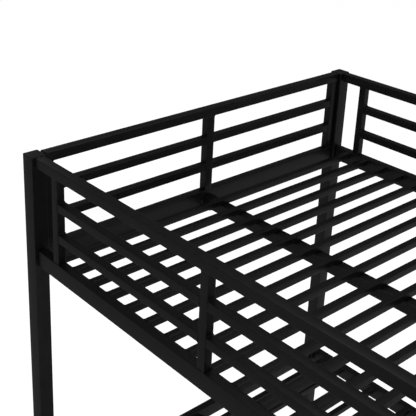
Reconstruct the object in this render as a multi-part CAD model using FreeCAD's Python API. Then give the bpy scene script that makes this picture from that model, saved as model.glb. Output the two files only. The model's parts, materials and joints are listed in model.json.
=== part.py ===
import FreeCAD, Part
import math
import os

V = FreeCAD.Vector

# Steel bunk bed with two full-size slatted decks, guards round the upper deck and a hook-on ladder.
# Frame: +X along the bed, +Y from the ladder side to the back, +Z up.
# Origin: middle of the bounding box, on the floor. All lengths in millimetres.

# ---- driving dimensions -------------------------------------------------------------------------
LENGTH = 2017.0          # over the posts, along X
WIDTH = 1439.0           # over the posts, along Y
HEIGHT = 1640.0          # floor to post caps
POST = 50.0
POST_WALL = 1.2
TUBE_RADIUS = 2.0        # outer corner radius of every rolled tube

DECK_SPACING = 977.0     # rail top to rail top
RAIL_W = 31.0
RAIL_H = 54.0
RAIL_WALL = 1.0

GUARD_TOP = 31.0         # square tube along the top of each guard
GUARD_MID = 27.0         # square tube of mid rails and uprights
GUARD_GAP = 74.0         # clear height between guard rails
GUARD_WALL = 0.8
FIRST_UPRIGHT = 85.5     # post face to first upright
FRONT_PITCH = 640.5      # upright spacing on the ladder side

SLAT_W = 22.0
SLAT_H = 23.0
SLAT_WALL = 0.6
SLAT_PITCH = 84.5
SLAT_COUNT = 22
SPIGOT_R = 4.0
SPIGOT_LENGTH = 7.0
SLAT_END_BAR = 12.0      # width of the bar that carries a spigot
SLAT_END_T = 3.0

BEAM = 38.0
BEAM_WALL = 1.0
SADDLE_T = 3.0
SADDLE_LENGTH = 36.0
SADDLE_CHEEK = 18.0      # height of the saddle's cheeks above its floor
SADDLE_EAR = 12.0        # back plate beyond each cheek

CAP_T = 3.0
CAP_PLUG = 8.0
FOOT_T = 5.0
FOOT_PLUG = 20.0
FOOT_CHAMFER = 1.0
PLUG_PLAY = 0.3          # plug to tube wall, per side
PLUG_WALL = 2.5

HOOK_GAP = 5.5           # rail end to post face
HOOK_T = 4.0
HOOK_TAIL = 30.0         # length of plate inside a rail
HOOK_NECK = 9.0
HOOK_DROP = 7.0
HOOK_NOSE = 5.0
HOOK_PLAY = 0.2
SLOT_LENGTH = 17.0
TOP_HOOK_LIFT = 1.5      # hook's foot above the underside of a guard's top rail
STANDING_HOOK_LIFT = 20.0    # hook's foot of an outer upright above the deck
GUARD_PLATE = 30.0       # height of a plate on an end guard's outer upright

BOLT_R = 3.0
BOLT_HOLE_R = 3.2
BOLT_HEAD_R = 5.5
BOLT_HEAD_T = 3.0
INSERT = 14.0            # nut insert in the foot of an upright
BOLT_TIP_GAP = 2.0       # insert left past a bolt's tip
DRILL_RUN = 1.0          # drill past both faces of a through hole

STILE = 30.0
STILE_WALL = 1.0
STILE_SPACING = 338.0    # centre to centre
LADDER_PLAY = 0.5        # ladder to rail face
RUNG_H = 22.0
RUNG_D = 25.0
RUNG_COUNT = 5
FIRST_RUNG = 250.0
RUNG_PITCH = 262.0
RUNG_END = 8.0           # nut insert in a rung's end
RUNG_TIP_GAP = 1.0       # insert left past a bolt's tip
LADDER_HOOK_W = 25.0
LADDER_HOOK_T = 5.0
LADDER_HOOK_DROP = 32.0
LADDER_HOOK_PLAY = 0.3
LADDER_HOOK_GAPS = (16, 19)   # slat gaps that the hooks drop into, counted from the left

# ---- derived places -----------------------------------------------------------------------------
LADDER_PROUD = STILE + LADDER_PLAY + RAIL_W / 2 - POST / 2    # ladder beyond the posts' front faces
MID_Y = LADDER_PROUD / 2                                      # long middle plane of the bed
UPPER_DECK = HEIGHT - GUARD_TOP - 2 * GUARD_MID - 3 * GUARD_GAP
DECKS = {"upper": UPPER_DECK, "lower": UPPER_DECK - DECK_SPACING}
POST_X = LENGTH / 2 - POST / 2
POST_Y = WIDTH / 2 - POST / 2
SIDE_Y = {"front": MID_Y - POST_Y, "back": MID_Y + POST_Y}
END_X = {"left": -POST_X, "right": POST_X}
RAIL_END_X = POST_X - POST / 2 - HOOK_GAP
RAIL_END_Y = POST_Y - POST / 2 - HOOK_GAP
FIRST_SLAT_X = -(SLAT_COUNT - 1) * SLAT_PITCH / 2
UPRIGHT_X = -(POST_X - POST / 2) + FIRST_UPRIGHT + GUARD_MID / 2
FRONT_UPRIGHTS = [UPRIGHT_X + k * FRONT_PITCH for k in range(3)]
BACK_UPRIGHTS = [UPRIGHT_X * (1 - 2 * k / 3) for k in range(4)]
MID_TOPS = [HEIGHT - GUARD_TOP - GUARD_GAP - k * (GUARD_MID + GUARD_GAP) for k in range(2)]
TOP_HOOK_Z = HEIGHT - GUARD_TOP + TOP_HOOK_LIFT
RAIL_HOOKS = (3.0, 29.0)        # foot of each hook above a rail's underside
STANDING_HOOK_Z = UPPER_DECK + STANDING_HOOK_LIFT
OUTER_UPRIGHT_Y = RAIL_END_Y - GUARD_MID / 2

LADDER_BACK = SIDE_Y["front"] - RAIL_W / 2 - LADDER_PLAY
LADDER_Y = LADDER_BACK - STILE / 2
HOOK_X = [FIRST_SLAT_X + (gap + 0.5) * SLAT_PITCH for gap in LADDER_HOOK_GAPS]
LADDER_X = sum(HOOK_X) / 2
STILE_X = {"left": LADDER_X - STILE_SPACING / 2, "right": LADDER_X + STILE_SPACING / 2}
RUNG_Z = [FIRST_RUNG + k * RUNG_PITCH for k in range(RUNG_COUNT)]


# ---- building blocks ----------------------------------------------------------------------------
def rounded_face(width, height, radius):
    """Rounded rectangle in the YZ plane, centred on the X axis."""
    a, b, r = width / 2, height / 2, radius
    d = r * (1 - math.sqrt(0.5))
    edges = []
    for sy, sz, turn in ((1, 1, 0), (-1, 1, 1), (-1, -1, 0), (1, -1, 1)):
        side, up = V(0, sy * a, sz * (b - r)), V(0, sy * (a - r), sz * b)
        start, end = (up, side) if turn else (side, up)
        edges.append(Part.Arc(start, V(0, sy * (a - d), sz * (b - d)), end).toShape())
    corners = [(e.Vertexes[0].Point, e.Vertexes[1].Point) for e in edges]
    lines = []
    for k in range(4):
        ends = corners[k] + corners[(k + 1) % 4]
        pairs = [(p, q) for p in ends[:2] for q in ends[2:]]
        pair = min(pairs, key=lambda pq: pq[0].distanceToPoint(pq[1]))
        lines.append(Part.LineSegment(*pair).toShape())
    ring = [shape for both in zip(edges, lines) for shape in both]
    return Part.Face(Part.Wire(Part.__sortEdges__(ring)))


def tube(length, width, height, wall):
    """Open rolled tube along +X from the origin; width is along Y."""
    outer = rounded_face(width, height, TUBE_RADIUS).extrude(V(length, 0, 0))
    inner_radius = max(TUBE_RADIUS - wall, 0.5)
    inner = rounded_face(width - 2 * wall, height - 2 * wall, inner_radius).extrude(V(length, 0, 0))
    return outer.cut(inner)


def box(x, y, z, dx, dy, dz):
    """Box from a corner."""
    return Part.makeBox(dx, dy, dz, V(x, y, z))


def centred_box(x, y, z, dx, dy, dz):
    """Box centred on x and y, standing on z."""
    return box(x - dx / 2, y - dy / 2, z, dx, dy, dz)


def tube_x(x0, x1, y, z, width, height, wall):
    """Tube from x0 to x1 with its centre line at y, z."""
    shape = tube(x1 - x0, width, height, wall)
    shape.translate(V(x0, y, z))
    return shape


def tube_y(y0, y1, x, z, width, height, wall):
    """Tube from y0 to y1 with its centre line at x, z; width is along X."""
    shape = tube(y1 - y0, width, height, wall)
    shape.rotate(V(0, 0, 0), V(0, 0, 1), 90)
    shape.translate(V(x, y0, z))
    return shape


def tube_z(z0, z1, x, y, width_x, width_y, wall):
    """Tube from z0 to z1 with its centre line at x, y."""
    shape = tube(z1 - z0, width_y, width_x, wall)
    shape.rotate(V(0, 0, 0), V(0, 1, 0), -90)
    shape.translate(V(x, y, z0))
    return shape


def rod(x, y, z, radius, length, axis):
    """Round rod from a point along an axis."""
    return Part.makeCylinder(radius, length, V(x, y, z), axis)


def save(node, solids):
    """One solid, or a group of separate solids, as one STEP file."""
    shape = solids[0] if len(solids) == 1 else Part.makeCompound(solids)
    for solid in shape.Solids:
        assert solid.isValid() and solid.Volume > 0, node
    shape.exportStep(f"parts/{node}.step")
    NODES.append(node)


# ---- posts --------------------------------------------------------------------------------------
def hook_slots(x, y, sx, sy):
    """Slots in one post: in its face towards the bed's middle along X, and in that along Y."""
    heights_x = [DECKS[d] - RAIL_H + h for d in DECKS for h in RAIL_HOOKS] + [TOP_HOOK_Z]
    heights_y = heights_x + [STANDING_HOOK_Z]
    deep, wide = 3 * POST_WALL, HOOK_T + 2 * HOOK_PLAY
    cuts = []
    for z in heights_x:
        cuts.append(centred_box(x - sx * POST / 2, y, z + HOOK_DROP, deep, wide, SLOT_LENGTH))
    for z in heights_y:
        cuts.append(centred_box(x, y - sy * POST / 2, z + HOOK_DROP, wide, deep, SLOT_LENGTH))
    return cuts


def end_plate(x, y, z, size, thickness):
    """Square plate with a tube's rounded outline, standing on z."""
    shape = rounded_face(size, size, TUBE_RADIUS).extrude(V(thickness, 0, 0))
    shape.rotate(V(0, 0, 0), V(0, 1, 0), -90)
    shape.translate(V(x, y, z))
    return shape


def skirt(x, y, z, size, wall, depth):
    """Hollow plug that fits inside a vertical tube, standing on z."""
    outer = size - 2 * (wall + PLUG_PLAY)
    hollow = outer - 2 * PLUG_WALL
    return centred_box(x, y, z, outer, outer, depth).cut(centred_box(x, y, z, hollow, hollow, depth))


def cap(x, y, size, wall):
    """Plastic cap on the top end of a post or stile."""
    z = HEIGHT - CAP_T
    inside = skirt(x, y, z - CAP_PLUG, size, wall, CAP_PLUG)
    return end_plate(x, y, z, size, CAP_T).fuse(inside).removeSplitter()


def foot(x, y, size, wall):
    """Plastic foot in the bottom end of a post or stile, chamfered round the floor."""
    pad = end_plate(x, y, 0, size, FOOT_T)
    pad = pad.makeChamfer(FOOT_CHAMFER, [e for e in pad.Edges if e.BoundBox.ZMax < 0.01])
    return pad.fuse(skirt(x, y, FOOT_T, size, wall, FOOT_PLUG)).removeSplitter()


def posts():
    caps, feet = [], []
    for end, x in END_X.items():
        for side, y in SIDE_Y.items():
            sx, sy = math.copysign(1, x), math.copysign(1, y - MID_Y)
            post = tube_z(FOOT_T, HEIGHT - CAP_T, x, y, POST, POST, POST_WALL)
            save(f"post_{side}_{end}", [post.cut(hook_slots(x, y, sx, sy))])
            caps.append(cap(x, y, POST, POST_WALL))
            feet.append(foot(x, y, POST, POST_WALL))
    save("post_caps", caps)
    save("post_feet", feet)


# ---- hook plates --------------------------------------------------------------------------------
def hook_plate(height, hooks, tail):
    """Plate in the XZ plane, centred on Y; +X points into the post and x = 0 is the rail's end."""
    neck_end = HOOK_GAP + POST_WALL + HOOK_PLAY
    plate = box(-tail, -HOOK_T / 2, 0, tail + HOOK_GAP, HOOK_T, height)
    for z in hooks:
        neck = box(HOOK_GAP, -HOOK_T / 2, z + HOOK_DROP, neck_end - HOOK_GAP, HOOK_T, HOOK_NECK)
        nose = box(neck_end, -HOOK_T / 2, z, HOOK_NOSE, HOOK_T, HOOK_DROP + HOOK_NECK)
        plate = plate.fuse([neck, nose])
    return plate.removeSplitter()


def placed(plate, turn, x, y, z):
    """A plate turned about Z by a number of degrees and moved to a rail's end."""
    plate.rotate(V(0, 0, 0), V(0, 0, 1), turn)
    plate.translate(V(x, y, z))
    return plate


def rail_plate(height, wall, hooks):
    """Plate that fills the inside height of a rail; z = 0 stays the rail's underside."""
    plate = hook_plate(height - 2 * wall, [h - wall for h in hooks], HOOK_TAIL)
    plate.translate(V(0, 0, wall))
    return plate


# ---- decks --------------------------------------------------------------------------------------
def bolt_holes(spots, z0, z1):
    """Through holes for upright bolts, along Z."""
    length = z1 - z0 + 2 * DRILL_RUN
    return [rod(x, y, z0 - DRILL_RUN, BOLT_HOLE_R, length, V(0, 0, 1)) for x, y in spots]


def slat(x, z):
    """Slat tube with a bar and a round spigot at each end; z is its centre height."""
    y0, y1 = SIDE_Y["front"] + RAIL_W / 2, SIDE_Y["back"] - RAIL_W / 2
    shape = tube_y(y0, y1, x, z, SLAT_W, SLAT_H, SLAT_WALL)
    inner = SLAT_H - 2 * SLAT_WALL
    bar_z = z - inner / 2
    bars = [
        box(x - SLAT_END_BAR / 2, y0, bar_z, SLAT_END_BAR, SLAT_END_T, inner),
        box(x - SLAT_END_BAR / 2, y1 - SLAT_END_T, bar_z, SLAT_END_BAR, SLAT_END_T, inner),
        rod(x, y0, z, SPIGOT_R, SPIGOT_LENGTH, V(0, -1, 0)),
        rod(x, y1, z, SPIGOT_R, SPIGOT_LENGTH, V(0, 1, 0)),
    ]
    return shape.fuse(bars)


def saddle(end, z):
    """U-shaped seat for a beam's end, with a back plate on the end rail; z is the beam's underside."""
    face = -RAIL_W / 2                      # towards the middle of the bed from the rail's centre
    outer = BEAM + 2 * SADDLE_T
    floor = box(face - SADDLE_LENGTH, -outer / 2, -SADDLE_T, SADDLE_LENGTH, outer, SADDLE_T)
    cheeks = [box(face - SADDLE_LENGTH, s * (BEAM + SADDLE_T) / 2 - SADDLE_T / 2, 0,
                  SADDLE_LENGTH, SADDLE_T, SADDLE_CHEEK) for s in (-1, 1)]
    ears = [box(face - SADDLE_T, s * (outer + SADDLE_EAR) / 2 - SADDLE_EAR / 2, -SADDLE_T,
                SADDLE_T, SADDLE_EAR, SADDLE_T + SADDLE_CHEEK + SADDLE_EAR) for s in (-1, 1)]
    shape = floor.fuse(cheeks + ears).removeSplitter()
    if end == "left":
        shape.rotate(V(0, 0, 0), V(0, 0, 1), 180)
    shape.translate(V(END_X[end], MID_Y, z))
    return shape


def deck(name, top):
    rail_z = top - RAIL_H / 2
    beam_top = top - SLAT_H
    slat_x = [FIRST_SLAT_X + k * SLAT_PITCH for k in range(SLAT_COUNT)]
    guarded = name == "upper"
    plates = []
    for side, y in SIDE_Y.items():
        rail = tube_x(-RAIL_END_X, RAIL_END_X, y, rail_z, RAIL_W, RAIL_H, RAIL_WALL)
        inward = 1 if side == "front" else -1
        face = y + inward * RAIL_W / 2
        holes = [rod(x, face + inward, top - SLAT_H / 2, SPIGOT_R, 3 * RAIL_WALL, V(0, -inward, 0))
                 for x in slat_x]
        if guarded:
            uprights = FRONT_UPRIGHTS + [-UPRIGHT_X] if side == "front" else BACK_UPRIGHTS
            holes += bolt_holes([(x, y) for x in uprights], top - RAIL_H, top)
        save(f"{name}_side_rail_{side}", [rail.cut(holes)])
        for turn, x in ((0, RAIL_END_X), (180, -RAIL_END_X)):
            plates.append(placed(rail_plate(RAIL_H, RAIL_WALL, RAIL_HOOKS), turn, x, y, top - RAIL_H))
    for end, x in END_X.items():
        rail = tube_y(MID_Y - RAIL_END_Y, MID_Y + RAIL_END_Y, x, rail_z, RAIL_W, RAIL_H, RAIL_WALL)
        if guarded:
            rail = rail.cut(bolt_holes([(x, MID_Y)], top - RAIL_H, top))
        save(f"{name}_end_rail_{end}", [rail])
        for turn, y in ((90, MID_Y + RAIL_END_Y), (-90, MID_Y - RAIL_END_Y)):
            plates.append(placed(rail_plate(RAIL_H, RAIL_WALL, RAIL_HOOKS), turn, x, y, top - RAIL_H))
    save(f"{name}_rail_hook_plates", plates)
    beam_end = POST_X - RAIL_W / 2
    save(f"{name}_center_beam",
         [tube_x(-beam_end, beam_end, MID_Y, beam_top - BEAM / 2, BEAM, BEAM, BEAM_WALL)])
    save(f"{name}_beam_saddles", [saddle(end, beam_top - BEAM) for end in END_X])
    save(f"{name}_slats", [slat(x, top - SLAT_H / 2) for x in slat_x])


# ---- guards -------------------------------------------------------------------------------------
def plain_upright(x, y, width):
    """Upright from the upper deck's rail to the top rail."""
    return tube_z(UPPER_DECK, HEIGHT - GUARD_TOP, x, y, width, width, GUARD_WALL)


def upright(x, y, width):
    """Upright with a nut insert in its foot."""
    shape = plain_upright(x, y, width)
    inner = width - 2 * GUARD_WALL
    insert = centred_box(x, y, UPPER_DECK, inner, inner, INSERT)
    return shape.fuse(insert).cut(bolt_holes([(x, y)], UPPER_DECK, UPPER_DECK + INSERT))


def upright_bolt(x, y):
    """Bolt up through the rail into an upright's insert, with its head under the rail."""
    under = UPPER_DECK - RAIL_H
    shank = rod(x, y, under, BOLT_R, RAIL_H + INSERT - BOLT_TIP_GAP, V(0, 0, 1))
    return shank.fuse(rod(x, y, under - BOLT_HEAD_T, BOLT_HEAD_R, BOLT_HEAD_T, V(0, 0, 1)))


def mid_rails_x(y, uprights):
    """Mid rails of a side guard, bay by bay between its uprights."""
    rails = []
    for z in MID_TOPS:
        for x0, x1 in zip(uprights, uprights[1:]):
            rails.append(tube_x(x0 + GUARD_MID / 2, x1 - GUARD_MID / 2, y, z - GUARD_MID / 2,
                                GUARD_MID, GUARD_MID, GUARD_WALL))
    return rails


def guards():
    top_z = HEIGHT - GUARD_TOP / 2
    bolts, plates, caps = [], [], []

    front, back = SIDE_Y["front"], SIDE_Y["back"]
    free_end = FRONT_UPRIGHTS[-1] + GUARD_MID / 2
    top_plate_z = HEIGHT - GUARD_TOP
    save("front_guard_top_rail",
         [tube_x(-RAIL_END_X, free_end, front, top_z, GUARD_TOP, GUARD_TOP, GUARD_WALL)])
    save("front_guard_mid_rails", mid_rails_x(front, FRONT_UPRIGHTS))
    for k, x in enumerate(FRONT_UPRIGHTS, 1):
        save(f"front_guard_upright_{k}", [upright(x, front, GUARD_MID)])
        bolts.append(upright_bolt(x, front))
    return_x = -UPRIGHT_X
    return_start = return_x - GUARD_MID / 2
    save("front_guard_return", [
        tube_x(return_start, RAIL_END_X, front, top_z, GUARD_TOP, GUARD_TOP, GUARD_WALL),
        upright(return_x, front, GUARD_MID)])
    bolts.append(upright_bolt(return_x, front))
    for x, into in ((free_end, -1), (return_start, 1)):
        inner = GUARD_TOP - 2 * GUARD_WALL - 2 * PLUG_PLAY
        face = rounded_face(GUARD_TOP, GUARD_TOP, TUBE_RADIUS).extrude(V(-into * PLUG_WALL, 0, 0))
        plug = rounded_face(inner, inner, TUBE_RADIUS - GUARD_WALL).extrude(V(into * CAP_PLUG, 0, 0))
        end_cap = face.fuse(plug).removeSplitter()
        end_cap.translate(V(x, front, top_z))
        caps.append(end_cap)

    save("back_guard_top_rail",
         [tube_x(-RAIL_END_X, RAIL_END_X, back, top_z, GUARD_TOP, GUARD_TOP, GUARD_WALL)])
    save("back_guard_mid_rails", mid_rails_x(back, BACK_UPRIGHTS))
    for k, x in enumerate(BACK_UPRIGHTS, 1):
        save(f"back_guard_upright_{k}", [upright(x, back, GUARD_MID)])
        bolts.append(upright_bolt(x, back))
    for turn, x, y in ((180, -RAIL_END_X, front), (0, RAIL_END_X, front),
                       (180, -RAIL_END_X, back), (0, RAIL_END_X, back)):
        plate = rail_plate(GUARD_TOP, GUARD_WALL, [TOP_HOOK_Z - top_plate_z])
        plates.append(placed(plate, turn, x, y, top_plate_z))

    for end, x in END_X.items():
        save(f"{end}_guard_top_rail", [tube_y(MID_Y - RAIL_END_Y, MID_Y + RAIL_END_Y, x, top_z,
                                              GUARD_TOP, GUARD_TOP, GUARD_WALL)])
        rails = []
        for z in MID_TOPS:
            for s in (-1, 1):
                ends = sorted((MID_Y + s * GUARD_TOP / 2, MID_Y + s * (RAIL_END_Y - GUARD_MID)))
                rails.append(tube_y(ends[0], ends[1], x, z - GUARD_MID / 2,
                                    GUARD_MID, GUARD_MID, GUARD_WALL))
        save(f"{end}_guard_mid_rails", rails)
        save(f"{end}_guard_upright_center", [upright(x, MID_Y, GUARD_TOP)])
        bolts.append(upright_bolt(x, MID_Y))
        for place, s in (("front", -1), ("back", 1)):
            outer = plain_upright(x, MID_Y + s * OUTER_UPRIGHT_Y, GUARD_MID)
            save(f"{end}_guard_upright_{place}", [outer])
        for turn, s in ((90, 1), (-90, -1)):
            y = MID_Y + s * RAIL_END_Y
            plate = rail_plate(GUARD_TOP, GUARD_WALL, [TOP_HOOK_Z - top_plate_z])
            plates.append(placed(plate, turn, x, y, top_plate_z))
            low = hook_plate(GUARD_PLATE, [STANDING_HOOK_Z - UPPER_DECK - HOOK_DROP], 0)
            plates.append(placed(low, turn, x, y, UPPER_DECK + HOOK_DROP))
    save("guard_hook_plates", plates)
    save("guard_end_caps", caps)
    save("guard_bolts", bolts)


# ---- ladder -------------------------------------------------------------------------------------
def ladder_hook(x):
    """Strap that rises behind the top rung, crosses the side rail and drops behind it."""
    rail_top = UPPER_DECK + LADDER_HOOK_PLAY
    inner = SIDE_Y["front"] + RAIL_W / 2 + LADDER_PLAY
    outer = LADDER_BACK - LADDER_HOOK_T
    left = x - LADDER_HOOK_W / 2
    low = RUNG_Z[-1] - RUNG_H / 2
    t = LADDER_HOOK_T
    rise = box(left, outer, low, LADDER_HOOK_W, t, rail_top + t - low)
    across = box(left, outer, rail_top, LADDER_HOOK_W, inner + t - outer, t)
    drop = box(left, inner, UPPER_DECK - LADDER_HOOK_DROP, LADDER_HOOK_W, t,
               LADDER_HOOK_DROP + LADDER_HOOK_PLAY + t)
    strap = rise.fuse([across, drop]).removeSplitter()
    crest = [e for e in strap.Edges if e.BoundBox.XLength > 1 and e.BoundBox.ZMin > rail_top + t - 0.1
             and (abs(e.CenterOfMass.y - outer) < 0.1 or abs(e.CenterOfMass.y - inner - t) < 0.1)]
    return strap.makeFillet(t - 1, crest)


def rung(z):
    """Rung tube with a nut insert in each end."""
    x0, x1 = STILE_X["left"] + STILE / 2, STILE_X["right"] - STILE / 2
    y = LADDER_BACK - LADDER_HOOK_T - RUNG_D / 2
    shape = tube_x(x0, x1, y, z, RUNG_D, RUNG_H, STILE_WALL)
    deep, high = RUNG_D - 2 * STILE_WALL, RUNG_H - 2 * STILE_WALL
    inserts = [box(x, y - deep / 2, z - high / 2, RUNG_END, deep, high) for x in (x0, x1 - RUNG_END)]
    drill = RUNG_END + 2 * DRILL_RUN
    holes = [rod(x - DRILL_RUN, y, z, BOLT_HOLE_R, drill, V(1, 0, 0)) for x in (x0, x1 - RUNG_END)]
    return shape.fuse(inserts).cut(holes)


def ladder():
    rung_y = LADDER_BACK - LADDER_HOOK_T - RUNG_D / 2
    bolts, feet, caps = [], [], []
    for side, x in STILE_X.items():
        stile = tube_z(FOOT_T, HEIGHT - CAP_T, x, LADDER_Y, STILE, STILE, STILE_WALL)
        outward = -1 if side == "left" else 1
        holes = [rod(x - STILE, rung_y, z, BOLT_HOLE_R, 2 * STILE, V(1, 0, 0)) for z in RUNG_Z]
        save(f"ladder_stile_{side}", [stile.cut(holes)])
        for z in RUNG_Z:
            face = x + outward * STILE / 2
            shank = rod(face, rung_y, z, BOLT_R, STILE + RUNG_END - RUNG_TIP_GAP, V(-outward, 0, 0))
            bolts.append(shank.fuse(rod(face, rung_y, z, BOLT_HEAD_R, BOLT_HEAD_T, V(outward, 0, 0))))
        feet.append(foot(x, LADDER_Y, STILE, STILE_WALL))
        caps.append(cap(x, LADDER_Y, STILE, STILE_WALL))
    for k, z in enumerate(RUNG_Z, 1):
        save(f"ladder_rung_{k}", [rung(z)])
    save("ladder_hooks", [ladder_hook(x) for x in HOOK_X])
    save("ladder_feet", feet)
    save("ladder_stile_caps", caps)
    save("ladder_bolts", bolts)


NODES = []
os.makedirs("parts", exist_ok=True)
posts()
for deck_name, deck_top in DECKS.items():
    deck(deck_name, deck_top)
guards()
ladder()
print(len(NODES), "nodes, bed", LENGTH, "x", WIDTH, "x", HEIGHT, "mm, decks at", DECKS)
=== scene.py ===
import json
import math

import bmesh
import bpy
import numpy as np
from mathutils import Euler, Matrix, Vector


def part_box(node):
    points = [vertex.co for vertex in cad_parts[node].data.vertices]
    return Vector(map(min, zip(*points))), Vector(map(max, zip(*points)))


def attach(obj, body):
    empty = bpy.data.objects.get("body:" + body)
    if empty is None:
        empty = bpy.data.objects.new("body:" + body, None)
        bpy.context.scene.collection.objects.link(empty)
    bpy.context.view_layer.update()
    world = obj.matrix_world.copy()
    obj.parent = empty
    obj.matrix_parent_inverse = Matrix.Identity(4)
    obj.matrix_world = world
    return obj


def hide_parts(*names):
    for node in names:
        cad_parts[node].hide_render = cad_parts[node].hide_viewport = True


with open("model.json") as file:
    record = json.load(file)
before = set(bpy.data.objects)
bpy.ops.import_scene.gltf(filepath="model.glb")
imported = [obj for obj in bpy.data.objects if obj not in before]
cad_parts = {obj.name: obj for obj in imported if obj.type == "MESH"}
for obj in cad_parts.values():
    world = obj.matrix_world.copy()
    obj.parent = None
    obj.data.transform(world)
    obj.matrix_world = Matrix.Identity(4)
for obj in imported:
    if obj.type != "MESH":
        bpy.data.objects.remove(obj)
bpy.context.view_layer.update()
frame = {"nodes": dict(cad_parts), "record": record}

MM = 0.001
NODES = frame["nodes"]
BODIES = frame["record"]["behaviour"]["bodies"]
BODY_OF = {name: body for body, members in BODIES.items() for name in members}

# ---- sizes that the frame doesn't state ---------------------------------------------------------
TUBE_RADIUS = 2.0 * MM
CORNER_STEPS = 6             # facets round each tube corner
RIM = 0.3 * MM               # chamfer on cut tube ends
RIM_STEPS = 4
WALLS = {"post": 1.2, "rail": 1.0, "guard": 0.8, "slat": 0.6, "beam": 1.0, "ladder": 1.0}

BEAD_RADIUS = 1.7 * MM       # weld bead where tubes meet
BEAD_RIPPLE = 0.16
BEAD_PITCH = 2.8 * MM
BEAD_STEP = 0.9 * MM
BEAD_SIDES = 6
SLAT_BEAD_RADIUS = 1.1 * MM
SLAT_BEAD_STEP = 1.5 * MM

CAP_PLATE = 3.0 * MM
FOOT_PLATE = 5.0 * MM
CAP_ROUND = 0.9 * MM
PLUG_PLAY = 0.3 * MM
PLUG_CORNER = 0.8 * MM
PLUG_ROUND = 0.4 * MM
EDGE_BREAK = 0.45 * MM       # broken edge on cut plates
EDGE_SEGMENTS = 2

RIM_EDGE_MASK = 0.6               # edge mask on moulded rims, turned parts and beads; on the powder coat it drives a painted edge highlight and a lower roughness
TURNED_EDGE_MASK = 0.3
BEAD_EDGE_MASK = 0.35
HEAD_HEIGHT = 3.0 * MM
HEAD_BAND = 0.6 * MM         # straight edge under a bolt head's dome
SHANK_SHARE = 0.54           # shares of the head's radius
SOCKET_SHARE = 0.52
HEXAGON_SHARE = 0.94         # hexagon's corners, as a share of the socket's rim
SOCKET_DEPTH = 2.0 * MM
THREAD_TAPER = 0.6 * MM
DOME_STEPS = 6
TREAD_STUD_R = 1.6 * MM      # pressed studs on the rungs
TREAD_STUD_H = 0.7 * MM
TREAD_PITCH = 12.0 * MM
TREAD_ROWS = (0.32, 0.68)    # shares of a rung's depth
TREAD_STEPS = 12
# shares of a stud's height and radius, from its sunken foot to its top
TREAD_PROFILE = [(-0.5, 1.0), (0.0, 1.0), (0.6, 0.75), (1.0, 0.35)]

# ---- limits for reading and finishing meshes ----------------------------------------------------
CAD_MERGE = 0.001 * MM       # CAD corners this close are one
MESH_MERGE = 0.002 * MM
LEAST_RUN = 1e-6 * MM
LEAST_RADIUS = 0.05 * MM
SLOT_CORNER_REACH = 3.0 * MM     # slot corners lie this near a post's middle
SLOT_CUT_REACH = 3.0 * MM        # a slot is cut this far to each side of the post's face
FLAT_ANGLE = 1               # degrees: faces that meet flatter than this are merged
SHARP_ANGLE = 50             # degrees: edges sharper than this are broken
# degrees: faces that meet flatter than these are shaded as one
TUBE_SMOOTH = 35
PLATE_SMOOTH = 40
STUD_SMOOTH = 60
BEAD_SMOOTH = 70

# ---- paint, plastic and steel -------------------------------------------------------------------
PAINT_TONES = (0.0042, 0.0042, 0.0045), (0.0068, 0.0068, 0.0071)
# lighter colour laid on edges by the edge mask: a painted highlight
PAINT_EDGE_HIGHLIGHT = (0.022, 0.022, 0.0225)
PAINT_HIGHLIGHT_COVER = (0.0, 0.8)    # how far the painted edge highlight covers an edge
PAINT_SPECULAR = 0.30
PAINT_ROUGHNESS = (0.30, 0.40)
PAINT_EDGE_POLISH = -0.03        # change of roughness on an edge
PLASTIC_TONES = (0.007, 0.007, 0.0074), (0.0105, 0.0105, 0.011)
PLASTIC_SPECULAR = 0.32
PLASTIC_ROUGHNESS = (0.52, 0.62)
OXIDE_TONES = (0.018, 0.018, 0.02), (0.045, 0.045, 0.05)
OXIDE_METALLIC = 0.85
OXIDE_ROUGHNESS = (0.34, 0.50)
MIX_FIRST, MIX_SECOND, MIX_RESULT = 6, 7, 2     # the Mix node's colour sockets


# ---- reading the frame --------------------------------------------------------------------------
def solids(node):
    """Boxes (low corner, high corner) of the separate solids in a CAD node, in order of their place."""
    mesh = bmesh.new()
    mesh.from_mesh(NODES[node].data)
    bmesh.ops.remove_doubles(mesh, verts=mesh.verts, dist=CAD_MERGE)
    seen, boxes = set(), []
    for start in mesh.verts:
        if start in seen:
            continue
        seen.add(start)
        stack, group = [start], []
        while stack:
            vert = stack.pop()
            group.append(vert.co.copy())
            for edge in vert.link_edges:
                other = edge.other_vert(vert)
                if other not in seen:
                    seen.add(other)
                    stack.append(other)
        points = np.array(group)
        boxes.append((Vector(points.min(0)), Vector(points.max(0))))
    mesh.free()
    return sorted(boxes, key=lambda box: tuple(round(c, 4) for c in box[0]))


def hook_slots(node):
    """Boxes of the slots in a post's two inner faces, found from the CAD post's own corners."""
    low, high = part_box(node)
    centre = (low + high) / 2
    points = np.array([v.co for v in NODES[node].data.vertices])
    found = []
    for across, along in ((0, 1), (1, 0)):
        near = np.abs(points[:, along] - centre[along]) < SLOT_CORNER_REACH
        own = points[near]
        side = math.copysign(1, own[:, across].mean() - centre[across])
        half = np.abs(own[:, along] - centre[along]).max()
        face = high[across] if side > 0 else low[across]
        heights = np.unique(own[:, 2].round(5))
        for z0, z1 in zip(heights[::2], heights[1::2]):
            box_low, box_high = Vector((0, 0, z0)), Vector((0, 0, z1))
            box_low[across], box_high[across] = face - SLOT_CUT_REACH, face + SLOT_CUT_REACH
            box_low[along], box_high[along] = centre[along] - half, centre[along] + half
            found.append((box_low, box_high))
    return found


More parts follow.
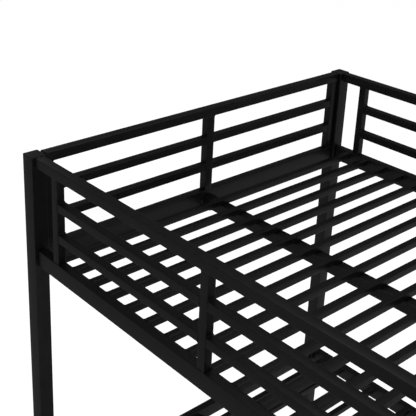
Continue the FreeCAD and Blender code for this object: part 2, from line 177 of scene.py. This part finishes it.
# ---- mesh tools ---------------------------------------------------------------------------------
class Mesh:
    """Vertices, faces and the edge mask of one piece."""

    def __init__(self):
        self.points, self.faces, self.edge = [], [], []

    def loops(self, rings, closed_path):
        """Skins rings of equal length; each ring is a list of (point, edge mask)."""
        base, count = len(self.points), len(rings[0])
        for ring in rings:
            for point, mask in ring:
                self.points.append(point)
                self.edge.append(mask)
        last = len(rings) if closed_path else len(rings) - 1
        for i in range(last):
            a, b = base + i * count, base + (i + 1) % len(rings) * count
            for k in range(count):
                n = (k + 1) % count
                self.faces.append((a + k, a + n, b + n, b + k))

    def fan(self, ring):
        """Closes a ring with one face."""
        base = len(self.points)
        for point, mask in ring:
            self.points.append(point)
            self.edge.append(mask)
        self.faces.append(tuple(range(base, base + len(ring))))

    def piece(self, name, body, slot, nodes=(), smooth_deg=TUBE_SMOOTH):
        """The finished object: welded, facing outwards, shaded smooth up to an angle."""
        data = bpy.data.meshes.new(name)
        data.from_pydata(self.points, [], self.faces)
        mask = data.attributes.new("edge", "FLOAT", "POINT")
        mask.data.foreach_set("value", self.edge)
        work = bmesh.new()
        work.from_mesh(data)
        bmesh.ops.remove_doubles(work, verts=work.verts, dist=MESH_MERGE)
        bmesh.ops.recalc_face_normals(work, faces=work.faces)
        work.to_mesh(data)
        work.free()
        return place(data, name, body, slot, nodes, smooth_deg)


def place(data, name, body, slot, nodes, smooth_deg):
    """Links a mesh as a piece that rides on a body and stands for CAD nodes."""
    data.shade_smooth()
    data.set_sharp_from_angle(angle=math.radians(smooth_deg))
    data.materials.clear()
    data.materials.append(MATERIALS[slot])
    obj = bpy.data.objects.new(name, data)
    bpy.context.scene.collection.objects.link(obj)
    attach(obj, body)
    if nodes:
        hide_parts(*nodes)
    return obj


def outline(half_u, half_v, radius):
    """Rounded rectangle as (u, v, edge mask); the mask is 1 in the middle of each corner."""
    points = []
    for quarter, (su, sv) in enumerate(((1, 1), (-1, 1), (-1, -1), (1, -1))):
        for k in range(CORNER_STEPS + 1):
            turn = math.radians(90) * (quarter + k / CORNER_STEPS)
            u = su * (half_u - radius) + radius * math.cos(turn)
            v = sv * (half_v - radius) + radius * math.sin(turn)
            points.append((u, v, math.sin(math.pi * k / CORNER_STEPS)))
    return points


def ring(centre, axis, at, half_u, half_v, radius, rim=0.0):
    """A rounded rectangle across an axis; rim is the least edge mask on it."""
    u_axis, v_axis = [k for k in range(3) if k != axis]
    points = []
    for u, v, mask in outline(half_u, half_v, max(radius, LEAST_RADIUS)):
        point = Vector(centre)
        point[axis] = at
        point[u_axis] += u
        point[v_axis] += v
        points.append((point, max(mask, rim)))
    return points


def long_axis(low, high):
    return max(range(3), key=lambda k: high[k] - low[k])


def add_tube(mesh, low, high, wall, axis=None):
    """Open rolled tube that fills a box, with chamfered rims and a real inner wall."""
    axis = long_axis(low, high) if axis is None else axis
    u_axis, v_axis = [k for k in range(3) if k != axis]
    centre = (low + high) / 2
    half_u, half_v = (high - low)[u_axis] / 2, (high - low)[v_axis] / 2
    start, end = low[axis], high[axis]

    def loop(at, inset, rim):
        return ring(centre, axis, at, half_u - inset, half_v - inset, TUBE_RADIUS - inset, rim)

    mesh.loops([
        loop(start, RIM, 1), loop(start + RIM, 0, 0), loop(end - RIM, 0, 0), loop(end, RIM, 1),
        loop(end, wall, 0), loop(start, wall, 0)], closed_path=True)


def add_slab(mesh, low, high, axis, corner, rounding):
    """Solid block across an axis, with rounded corners and a rounded rim at both ends."""
    u_axis, v_axis = [k for k in range(3) if k != axis]
    centre = (low + high) / 2
    half_u, half_v = (high - low)[u_axis] / 2, (high - low)[v_axis] / 2
    turns = [math.radians(90) * k / RIM_STEPS for k in range(RIM_STEPS + 1)]
    rim = [(rounding * (1 - math.cos(t)), rounding * (1 - math.sin(t))) for t in turns]
    places = [(low[axis] + drop, inset) for inset, drop in reversed(rim)]
    places += [(high[axis] - drop, inset) for inset, drop in rim]
    rings = [ring(centre, axis, at, half_u - inset, half_v - inset, corner - inset, RIM_EDGE_MASK)
             for at, inset in places]
    mesh.loops(rings, closed_path=False)
    mesh.fan(rings[0])
    mesh.fan(rings[-1])


def add_bead(mesh, centre, axis, at, half_u, half_v, size, step):
    """Rippled weld bead round a tube's end, on the plane where it meets another part."""
    u_axis, v_axis = [k for k in range(3) if k != axis]
    corners = [Vector((u, v, 0)) for u, v, _ in outline(half_u, half_v, TUBE_RADIUS)]
    length, path = 0.0, []
    for here, there in zip(corners, corners[1:] + corners[:1]):
        run = (there - here).length
        if run < LEAST_RUN:
            continue
        count = max(1, round(run / step))
        forward = (there - here).normalized()
        for k in range(count):
            path.append((here.lerp(there, k / count), forward, length + run * k / count))
        length += run
    waves = max(1, round(length / BEAD_PITCH))
    rings = []
    for spot, forward, along in path:
        outward = Vector((forward.y, -forward.x, 0))
        thick = size * (1 + BEAD_RIPPLE * math.sin(2 * math.pi * waves * along / length))
        loop = []
        for k in range(BEAD_SIDES):
            turn = 2 * math.pi * k / BEAD_SIDES
            flat = spot + outward * thick * math.cos(turn)
            point = Vector(centre)
            point[u_axis] += flat.x
            point[v_axis] += flat.y
            point[axis] = at + thick * math.sin(turn)
            loop.append((point, BEAD_EDGE_MASK))
        rings.append(loop)
    mesh.loops(rings, closed_path=True)


def add_lathe(mesh, centre, direction, profile, steps=24):
    """Turned shape, closed at both ends; profile is (place along direction, radius, is a hexagon)."""
    side = direction.orthogonal().normalized()
    up = direction.cross(side)
    rings = []
    for along, radius, hexagon in profile:
        loop = []
        for k in range(steps):
            turn = 2 * math.pi * k / steps
            wedge = turn % math.radians(60) - math.radians(30)
            reach = radius * math.cos(math.radians(30)) / math.cos(wedge) if hexagon else radius
            out = side * math.cos(turn) + up * math.sin(turn)
            loop.append((centre + direction * along + out * reach, TURNED_EDGE_MASK))
        rings.append(loop)
    mesh.loops(rings, closed_path=False)
    mesh.fan(rings[0])
    mesh.fan(rings[-1])


def cut_out(obj, boxes):
    """Cuts boxes out of a tube's mesh."""
    cutter = bmesh.new()
    for low, high in boxes:
        made = bmesh.ops.create_cube(cutter, size=1.0)["verts"]
        for vert in made:
            vert.co = Vector((low[k] + (vert.co[k] + 0.5) * (high[k] - low[k]) for k in range(3)))
    data = bpy.data.meshes.new("cutter")
    cutter.to_mesh(data)
    cutter.free()
    tool = bpy.data.objects.new("cutter", data)
    bpy.context.scene.collection.objects.link(tool)
    modifier = obj.modifiers.new("slots", "BOOLEAN")
    modifier.operation = "DIFFERENCE"
    modifier.solver = "EXACT"
    modifier.object = tool
    evaluated = obj.evaluated_get(bpy.context.evaluated_depsgraph_get())
    result = bpy.data.meshes.new_from_object(evaluated)
    obj.modifiers.clear()
    obj.data = result
    bpy.data.objects.remove(tool)
    result.set_sharp_from_angle(angle=math.radians(TUBE_SMOOTH))


def refined(node_name, slot):
    """A cut or moulded CAD part with its sharp edges broken."""
    work = bmesh.new()
    work.from_mesh(NODES[node_name].data)
    bmesh.ops.remove_doubles(work, verts=work.verts, dist=CAD_MERGE)
    flat, least = math.radians(FLAT_ANGLE), math.radians(SHARP_ANGLE)
    bmesh.ops.dissolve_limit(work, angle_limit=flat, verts=work.verts, edges=work.edges)
    sharp = [e for e in work.edges if len(e.link_faces) == 2 and e.calc_face_angle() > least]
    bmesh.ops.bevel(work, geom=sharp, offset=EDGE_BREAK, segments=EDGE_SEGMENTS, profile=0.5,
                    affect="EDGES", clamp_overlap=True)
    bmesh.ops.triangulate(work, faces=[f for f in work.faces if len(f.verts) > 4])
    data = bpy.data.meshes.new(node_name + "_refined")
    work.to_mesh(data)
    work.free()
    place(data, node_name + "_refined", BODY_OF[node_name], slot, [node_name], PLATE_SMOOTH)


# ---- materials ----------------------------------------------------------------------------------
def shader(name):
    """A new node material, its tree and its Principled node."""
    material = bpy.data.materials.new(name)
    material.use_nodes = True
    tree = material.node_tree
    principled = tree.nodes["Principled BSDF"]
    return material, tree, principled


def node(tree, kind, **settings):
    """A new shader node with its properties set."""
    made = tree.nodes.new(kind)
    for key, value in settings.items():
        setattr(made, key, value)
    return made


def noise(tree, scale, detail, rough=0.5):
    """Noise in the object's own space, in cycles per metre."""
    coords = node(tree, "ShaderNodeTexCoord")
    made = node(tree, "ShaderNodeTexNoise")
    made.inputs["Scale"].default_value = scale
    made.inputs["Detail"].default_value = detail
    made.inputs["Roughness"].default_value = rough
    tree.links.new(coords.outputs["Object"], made.inputs["Vector"])
    return made.outputs["Fac"]


def ramp(tree, value, low, high, start=0.3, end=0.7):
    """Maps a value onto a range of numbers."""
    made = node(tree, "ShaderNodeMapRange")
    for key, number in (("From Min", start), ("From Max", end), ("To Min", low), ("To Max", high)):
        made.inputs[key].default_value = number
    tree.links.new(value, made.inputs["Value"])
    return made.outputs["Result"]


def blend_colours(tree, factor, first, second):
    """Mixes two colours by a factor."""
    made = node(tree, "ShaderNodeMix", data_type="RGBA")
    made.inputs[MIX_FIRST].default_value = (*first, 1)
    made.inputs[MIX_SECOND].default_value = (*second, 1)
    tree.links.new(factor, made.inputs["Factor"])
    return made.outputs[MIX_RESULT]


def bump(tree, principled, layers):
    """Stacks bump layers of (height, strength, depth in metres)."""
    below = None
    for height, strength, depth in layers:
        made = node(tree, "ShaderNodeBump")
        made.inputs["Strength"].default_value = strength
        made.inputs["Distance"].default_value = depth
        tree.links.new(height, made.inputs["Height"])
        if below:
            tree.links.new(below, made.inputs["Normal"])
        below = made.outputs["Normal"]
    tree.links.new(below, principled.inputs["Normal"])


def black_powder_coat():
    """Satin powder coat: faint orange peel, uneven gloss, shinier edges, and a painted highlight in a
    lighter colour on the edges.
    """
    material, tree, principled = shader("black_powder_coat")
    principled.inputs["Specular IOR Level"].default_value = PAINT_SPECULAR
    cloud = noise(tree, scale=5.0, detail=3.0)
    peel = noise(tree, scale=420.0, detail=2.0, rough=0.4)
    grit = noise(tree, scale=1900.0, detail=2.0, rough=0.6)
    tone = blend_colours(tree, ramp(tree, cloud, 0, 1), *PAINT_TONES)
    mask = node(tree, "ShaderNodeAttribute", attribute_name="edge")
    # edge mask times patchy noise lays a lighter colour on edges: a painted highlight
    edges = node(tree, "ShaderNodeMix", data_type="RGBA")
    highlight_share = node(tree, "ShaderNodeMath", operation="MULTIPLY")
    tree.links.new(mask.outputs["Fac"], highlight_share.inputs[0])
    tree.links.new(ramp(tree, noise(tree, scale=60.0, detail=3.0), *PAINT_HIGHLIGHT_COVER), highlight_share.inputs[1])
    tree.links.new(highlight_share.outputs[0], edges.inputs["Factor"])
    tree.links.new(tone, edges.inputs[MIX_FIRST])
    edges.inputs[MIX_SECOND].default_value = (*PAINT_EDGE_HIGHLIGHT, 1)
    tree.links.new(edges.outputs[MIX_RESULT], principled.inputs["Base Color"])
    uneven = ramp(tree, noise(tree, scale=38.0, detail=4.0, rough=0.6), *PAINT_ROUGHNESS)
    polish = node(tree, "ShaderNodeMath", operation="MULTIPLY_ADD")
    tree.links.new(mask.outputs["Fac"], polish.inputs[0])
    polish.inputs[1].default_value = PAINT_EDGE_POLISH
    tree.links.new(uneven, polish.inputs[2])
    tree.links.new(polish.outputs[0], principled.inputs["Roughness"])
    bump(tree, principled, [(peel, 0.22, 0.25 * MM), (grit, 0.12, 0.08 * MM)])
    return material


def black_moulded_plastic():
    """Moulded plastic: fine spark-eroded texture, duller than the paint."""
    material, tree, principled = shader("black_moulded_plastic")
    principled.inputs["Specular IOR Level"].default_value = PLASTIC_SPECULAR
    cloud = noise(tree, scale=12.0, detail=2.0)
    tone = blend_colours(tree, ramp(tree, cloud, 0, 1), *PLASTIC_TONES)
    tree.links.new(tone, principled.inputs["Base Color"])
    uneven = ramp(tree, noise(tree, scale=90.0, detail=3.0), *PLASTIC_ROUGHNESS)
    tree.links.new(uneven, principled.inputs["Roughness"])
    grain = noise(tree, scale=1300.0, detail=3.0, rough=0.7)
    bump(tree, principled, [(grain, 0.35, 0.12 * MM)])
    return material


def black_oxide_steel():
    """Black oxide fasteners: dark metal with lighter, rubbed patches."""
    material, tree, principled = shader("black_oxide_steel")
    principled.inputs["Metallic"].default_value = OXIDE_METALLIC
    patches = noise(tree, scale=240.0, detail=3.0)
    tone = blend_colours(tree, ramp(tree, patches, 0, 1), *OXIDE_TONES)
    tree.links.new(tone, principled.inputs["Base Color"])
    uneven = ramp(tree, noise(tree, scale=700.0, detail=3.0), *OXIDE_ROUGHNESS)
    tree.links.new(uneven, principled.inputs["Roughness"])
    grain = noise(tree, scale=2500.0, detail=2.0)
    bump(tree, principled, [(grain, 0.2, 0.05 * MM)])
    return material


MATERIALS = {
    "black_steel": black_powder_coat(),
    "black_plastic": black_moulded_plastic(),
    "black_bolts": black_oxide_steel(),
}


# ---- posts --------------------------------------------------------------------------------------
def posts():
    """Post tubes with the slots for the hook plates."""
    for name in [n for n in NODES if n.startswith("post_") and n not in ("post_caps", "post_feet")]:
        low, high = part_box(name)
        mesh = Mesh()
        add_tube(mesh, low, high, WALLS["post"] * MM, axis=2)
        made = mesh.piece(name + "_tube", BODY_OF[name], "black_steel", [name])
        cut_out(made, hook_slots(name))


def plugs(node_name, plate, upward, wall):
    """Moulded caps or feet: a plate of a given thickness outside the tube and a plug inside it."""
    mesh = Mesh()
    inset = Vector((1, 1, 0)) * (wall * MM + PLUG_PLAY)
    for low, high in solids(node_name):
        split = high.z - plate if upward else low.z + plate
        upper_box = (Vector((low.x, low.y, split)), high)
        lower_box = (low, Vector((high.x, high.y, split)))
        plate_box, plug_box = (upper_box, lower_box) if upward else (lower_box, upper_box)
        add_slab(mesh, *plate_box, 2, TUBE_RADIUS, CAP_ROUND)
        add_slab(mesh, plug_box[0] + inset, plug_box[1] - inset, 2, PLUG_CORNER, PLUG_ROUND)
    mesh.piece(node_name + "_moulded", BODY_OF[node_name], "black_plastic", [node_name])


# ---- rails, slats and guards --------------------------------------------------------------------
def tubes(node_name, wall, axis=None):
    """Every solid of a node as a detailed tube."""
    mesh = Mesh()
    for low, high in solids(node_name):
        add_tube(mesh, low, high, wall * MM, axis=axis)
    mesh.piece(node_name + "_tube", BODY_OF[node_name], "black_steel", [node_name])


def end_beads(mesh, low, high, axis, ends, size=BEAD_RADIUS, step=BEAD_STEP):
    """Weld beads round a tube's chosen ends: 0 for the low end, 1 for the high end."""
    u_axis, v_axis = [k for k in range(3) if k != axis]
    half_u, half_v = (high - low)[u_axis] / 2, (high - low)[v_axis] / 2
    for end in ends:
        at = (high if end else low)[axis]
        add_bead(mesh, (low + high) / 2, axis, at, half_u, half_v, size, step)


def slats(deck):
    """Slat tubes between the side rails, each welded round its ends."""
    node_name = deck + "_slats"
    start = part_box(deck + "_side_rail_front")[1].y
    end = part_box(deck + "_side_rail_back")[0].y
    mesh, beads = Mesh(), Mesh()
    for low, high in solids(node_name):
        tube_low, tube_high = Vector((low.x, start, low.z)), Vector((high.x, end, high.z))
        add_tube(mesh, tube_low, tube_high, WALLS["slat"] * MM)
        end_beads(beads, tube_low, tube_high, 1, (0, 1), SLAT_BEAD_RADIUS, SLAT_BEAD_STEP)
    mesh.piece(node_name + "_tube", BODY_OF[node_name], "black_steel", [node_name])
    beads.piece(deck + "_slat_welds", BODY_OF[node_name], "black_steel", smooth_deg=BEAD_SMOOTH)


def welds():
    """Beads at the guard rails' ends and at the tops of the uprights."""
    for side in ("front", "back", "left", "right"):
        beads = Mesh()
        for low, high in solids(side + "_guard_mid_rails"):
            end_beads(beads, low, high, long_axis(low, high), (0, 1))
        for name in [n for n in NODES if n.startswith(side + "_guard_upright")]:
            low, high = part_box(name)
            end_beads(beads, low, high, 2, (1,))
        beads.piece(side + "_guard_welds", "bed_frame", "black_steel", smooth_deg=BEAD_SMOOTH)


# ---- bolts --------------------------------------------------------------------------------------
def button_bolt(mesh, low, high, axis, head_sign):
    """Button-head bolt that fills a box; head_sign tells which end has the head and its socket."""
    direction = Vector((0, 0, 0))
    direction[axis] = head_sign
    tip = (low + high) / 2
    tip[axis] = high[axis] if head_sign > 0 else low[axis]
    length = high[axis] - low[axis]
    head_radius = (high - low)[(axis + 1) % 3] / 2
    shank, socket = head_radius * SHANK_SHARE, head_radius * SOCKET_SHARE
    dome = HEAD_HEIGHT - HEAD_BAND
    profile = [(-length, shank - THREAD_TAPER, False), (THREAD_TAPER - length, shank, False),
               (-HEAD_HEIGHT, shank, False), (-HEAD_HEIGHT, head_radius, False)]
    for k in range(DOME_STEPS + 1):
        turn = math.radians(90) * k / DOME_STEPS
        radius = socket + (head_radius - socket) * math.cos(turn)
        profile.append((dome * (math.sin(turn) - 1), radius, False))
    profile += [(0, socket * HEXAGON_SHARE, True), (-SOCKET_DEPTH, socket * HEXAGON_SHARE, True)]
    add_lathe(mesh, tip, direction, profile)


def bolts():
    """Upright bolts with their heads below the rails, and rung bolts with theirs outside the stiles."""
    mesh = Mesh()
    for low, high in solids("guard_bolts"):
        button_bolt(mesh, low, high, 2, -1)
    mesh.piece("guard_bolts_button_head", "bed_frame", "black_bolts", ["guard_bolts"])
    ladder_low, ladder_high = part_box("ladder_bolts")
    middle = (ladder_low.x + ladder_high.x) / 2
    mesh = Mesh()
    for low, high in solids("ladder_bolts"):
        button_bolt(mesh, low, high, 0, math.copysign(1, (low.x + high.x) / 2 - middle))
    mesh.piece("ladder_bolts_button_head", "ladder", "black_bolts", ["ladder_bolts"])


# ---- ladder -------------------------------------------------------------------------------------
def ladder():
    """Stiles, rungs with pressed studs, and the hooks."""
    for side in ("left", "right"):
        tubes("ladder_stile_" + side, WALLS["ladder"], axis=2)
    studs = Mesh()
    stud = [(TREAD_STUD_H * rise, TREAD_STUD_R * reach, False) for rise, reach in TREAD_PROFILE]
    for name in sorted(n for n in NODES if n.startswith("ladder_rung_")):
        tubes(name, WALLS["ladder"], axis=0)
        low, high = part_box(name)
        count = int((high.x - low.x - 2 * TREAD_PITCH) / TREAD_PITCH)
        for row in TREAD_ROWS:
            for k in range(count + 1):
                x = (low.x + high.x) / 2 + (k - count / 2) * TREAD_PITCH
                spot = Vector((x, low.y + (high.y - low.y) * row, high.z))
                add_lathe(studs, spot, Vector((0, 0, 1)), stud, steps=TREAD_STEPS)
    studs.piece("ladder_rung_studs", "ladder", "black_steel", smooth_deg=STUD_SMOOTH)
    refined("ladder_hooks", "black_steel")


# ---- the bed ------------------------------------------------------------------------------------
posts()
plugs("post_caps", CAP_PLATE, True, WALLS["post"])
plugs("post_feet", FOOT_PLATE, False, WALLS["post"])
plugs("ladder_stile_caps", CAP_PLATE, True, WALLS["ladder"])
plugs("ladder_feet", FOOT_PLATE, False, WALLS["ladder"])
for deck_name in ("upper", "lower"):
    for rail in ("side_rail_front", "side_rail_back", "end_rail_left", "end_rail_right"):
        tubes(f"{deck_name}_{rail}", WALLS["rail"])
    tubes(deck_name + "_center_beam", WALLS["beam"])
    slats(deck_name)
    refined(deck_name + "_beam_saddles", "black_steel")
    refined(deck_name + "_rail_hook_plates", "black_steel")
refined("guard_hook_plates", "black_steel")
refined("guard_end_caps", "black_plastic")
for guard_node in [n for n in NODES if "_guard_" in n and not n.startswith("guard_")]:
    tubes(guard_node, WALLS["guard"])
welds()
bolts()
ladder()


# ---- stage --------------------------------------------------------------------------------------
FLOOR_HALF = 14.0
FLOOR_TONE = (0.45, 0.45, 0.45)
BOUNCE_DEPTH = -0.02
BACKDROP_RADIUS = 13.5
FLOOR_GLOW = 0.95            # keeps the floor pale under weak lamps
STAGE_SHADE = 0.985          # darker tone of the floor, as a share of the lighter one
STAGE_ROUGHNESS = 0.9
STAGE_SPECULAR = 0.1
DOME_SEGMENTS, DOME_RINGS = 48, 24
WHITE = (1, 1, 1, 1)
WORLD_LIGHT = 0.08
# name, low and high end along Y, glow
BOUNCE_CARDS = [
    ("bounce_front", -FLOOR_HALF, -0.72, 0.18),
    ("bounce_back", -0.72, FLOOR_HALF, 0.30),
]
MIDDLE = (0, 0, 0.9)
# name, place, side of the square lamp, watts
LAMPS = [
    ("top_soft", (0, 0, 5.2), 5.0, 82),
    ("front_low", (-1.0, -5.0, 0.5), 3.0, 14),
    ("right_low", (5.0, 0, 0.5), 3.0, 155),
    ("left_fill", (-5.4, 0, 2.4), 3.4, 16),
    ("back_fill", (0.5, 5.2, 2.8), 3.4, 16),
]


def stage_piece(name, work, colour, glow):
    """Sheet or dome of the stage: a matt surface that also glows."""
    data = bpy.data.meshes.new(name)
    work.to_mesh(data)
    work.free()
    material, tree, principled = shader("pale_" + name)
    darker = tuple(STAGE_SHADE * channel for channel in colour)
    cloud = noise(tree, scale=0.7, detail=2.0)
    tone = blend_colours(tree, ramp(tree, cloud, 0, 1), colour, darker)
    tree.links.new(tone, principled.inputs["Base Color"])
    principled.inputs["Roughness"].default_value = STAGE_ROUGHNESS
    principled.inputs["Specular IOR Level"].default_value = STAGE_SPECULAR
    principled.inputs["Emission Color"].default_value = WHITE
    principled.inputs["Emission Strength"].default_value = glow
    data.materials.append(material)
    obj = bpy.data.objects.new(name, data)
    bpy.context.scene.collection.objects.link(obj)
    obj.visible_glossy = False
    return obj


def flat_sheet(y_low, y_high, height):
    """Level sheet over the whole stage along X, and over a stretch of it along Y."""
    work = bmesh.new()
    corners = ((-FLOOR_HALF, y_low), (FLOOR_HALF, y_low), (FLOOR_HALF, y_high), (-FLOOR_HALF, y_high))
    work.faces.new([work.verts.new((x, y, height)) for x, y in corners])
    return work


def floor():
    """Pale floor that everything but reflections sees."""
    stage_piece("floor", flat_sheet(-FLOOR_HALF, FLOOR_HALF, 0.0), FLOOR_TONE, FLOOR_GLOW)


def bounce_cards():
    """Dim cards under the floor that only reflections see, as the floor itself would be too bright."""
    for name, y_low, y_high, glow in BOUNCE_CARDS:
        obj = stage_piece(name, flat_sheet(y_low, y_high, BOUNCE_DEPTH), (0, 0, 0), glow)
        obj.visible_glossy = True
        obj.visible_camera = False
        obj.visible_diffuse = False
        obj.visible_shadow = False


def backdrop():
    """White dome behind everything; it only shows to the camera and lights nothing."""
    work = bmesh.new()
    bmesh.ops.create_uvsphere(work, u_segments=DOME_SEGMENTS, v_segments=DOME_RINGS,
                              radius=BACKDROP_RADIUS)
    obj = stage_piece("backdrop", work, (0, 0, 0), 1.0)
    obj.visible_diffuse = False
    obj.visible_shadow = False
    obj.visible_transmission = False


def area_light(name, place_at, size, power):
    """Square soft lamp that faces the bed's middle."""
    data = bpy.data.lights.new(name, "AREA")
    data.shape = "SQUARE"
    data.size = size
    data.energy = power
    obj = bpy.data.objects.new(name, data)
    obj.location = place_at
    obj.rotation_euler = (Vector(MIDDLE) - Vector(place_at)).to_track_quat("-Z", "Y").to_euler()
    obj.visible_camera = False
    bpy.context.scene.collection.objects.link(obj)


def studio():
    """Lamps, a weak even light from all round, and plain colours."""
    for lamp in LAMPS:
        area_light(*lamp)
    world = bpy.data.worlds.new("studio")
    world.use_nodes = True
    background = world.node_tree.nodes["Background"]
    background.inputs["Color"].default_value = WHITE
    background.inputs["Strength"].default_value = WORLD_LIGHT
    bpy.context.scene.world = world
    bpy.context.scene.view_settings.view_transform = "Standard"


# ---- camera -------------------------------------------------------------------------------------
# Place in metres, turn in degrees, sensor and lens in millimetres, shift in sensor widths.
CAMERA_PLACE = (1.0374, -1.8837, 2.6360)
CAMERA_TURN = (68.3045, -1.5195, 50.0378)
CAMERA_LENS = 74.164
CAMERA_SHIFT = (0.0865, -0.1779)
CAMERA_SENSOR = 36.0
CAMERA_REACH = (0.05, 60.0)      # nearest and furthest depth seen, in metres


def camera():
    data = bpy.data.cameras.new("camera")
    data.sensor_width = CAMERA_SENSOR
    data.lens = CAMERA_LENS
    data.shift_x, data.shift_y = CAMERA_SHIFT
    data.clip_start, data.clip_end = CAMERA_REACH
    obj = bpy.data.objects.new("camera", data)
    obj.location = CAMERA_PLACE
    obj.rotation_euler = Euler([math.radians(angle) for angle in CAMERA_TURN])
    bpy.context.scene.collection.objects.link(obj)
    bpy.context.scene.camera = obj


floor()
bounce_cards()
backdrop()
studio()
camera()
